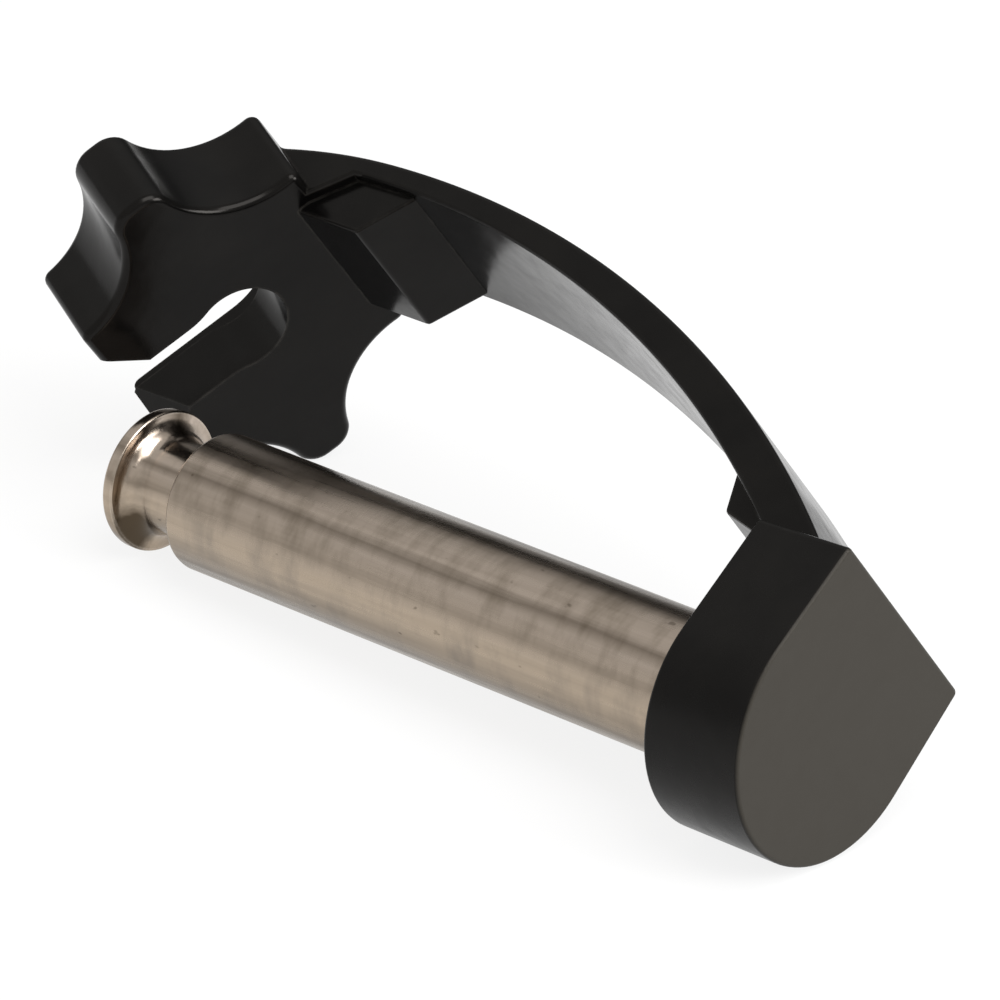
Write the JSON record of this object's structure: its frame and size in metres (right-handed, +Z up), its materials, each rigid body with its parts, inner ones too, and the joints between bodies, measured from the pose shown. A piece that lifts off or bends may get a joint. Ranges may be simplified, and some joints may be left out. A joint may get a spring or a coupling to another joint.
{
  "type": "hinge pin with captive snap retainer",
  "caption": "Short steel pin with a grooved head, its tail moulded in a black plastic block whose flexible strap ends in a slotted snap clip that grips the groove and keeps the pin in",
  "frame": {"origin": "on the floor, under the centre of the part's bounding box as it lies at rest", "axes": "+Z up; +X along the pin towards the moulded block, the pin's free end and the clip towards -X; +Y to the side the strap leans to"},
  "size_m": [0.1214, 0.0536, 0.0439],
  "materials": {
    "pin_steel": "turned and polished steel with light handling marks",
    "retainer_nylon": "black moulded nylon with a soft gloss"
  },
  "bodies": {
    "root": {"hinge_pin": "pin_steel", "retainer": "retainer_nylon"}
  },
  "joints": []
}
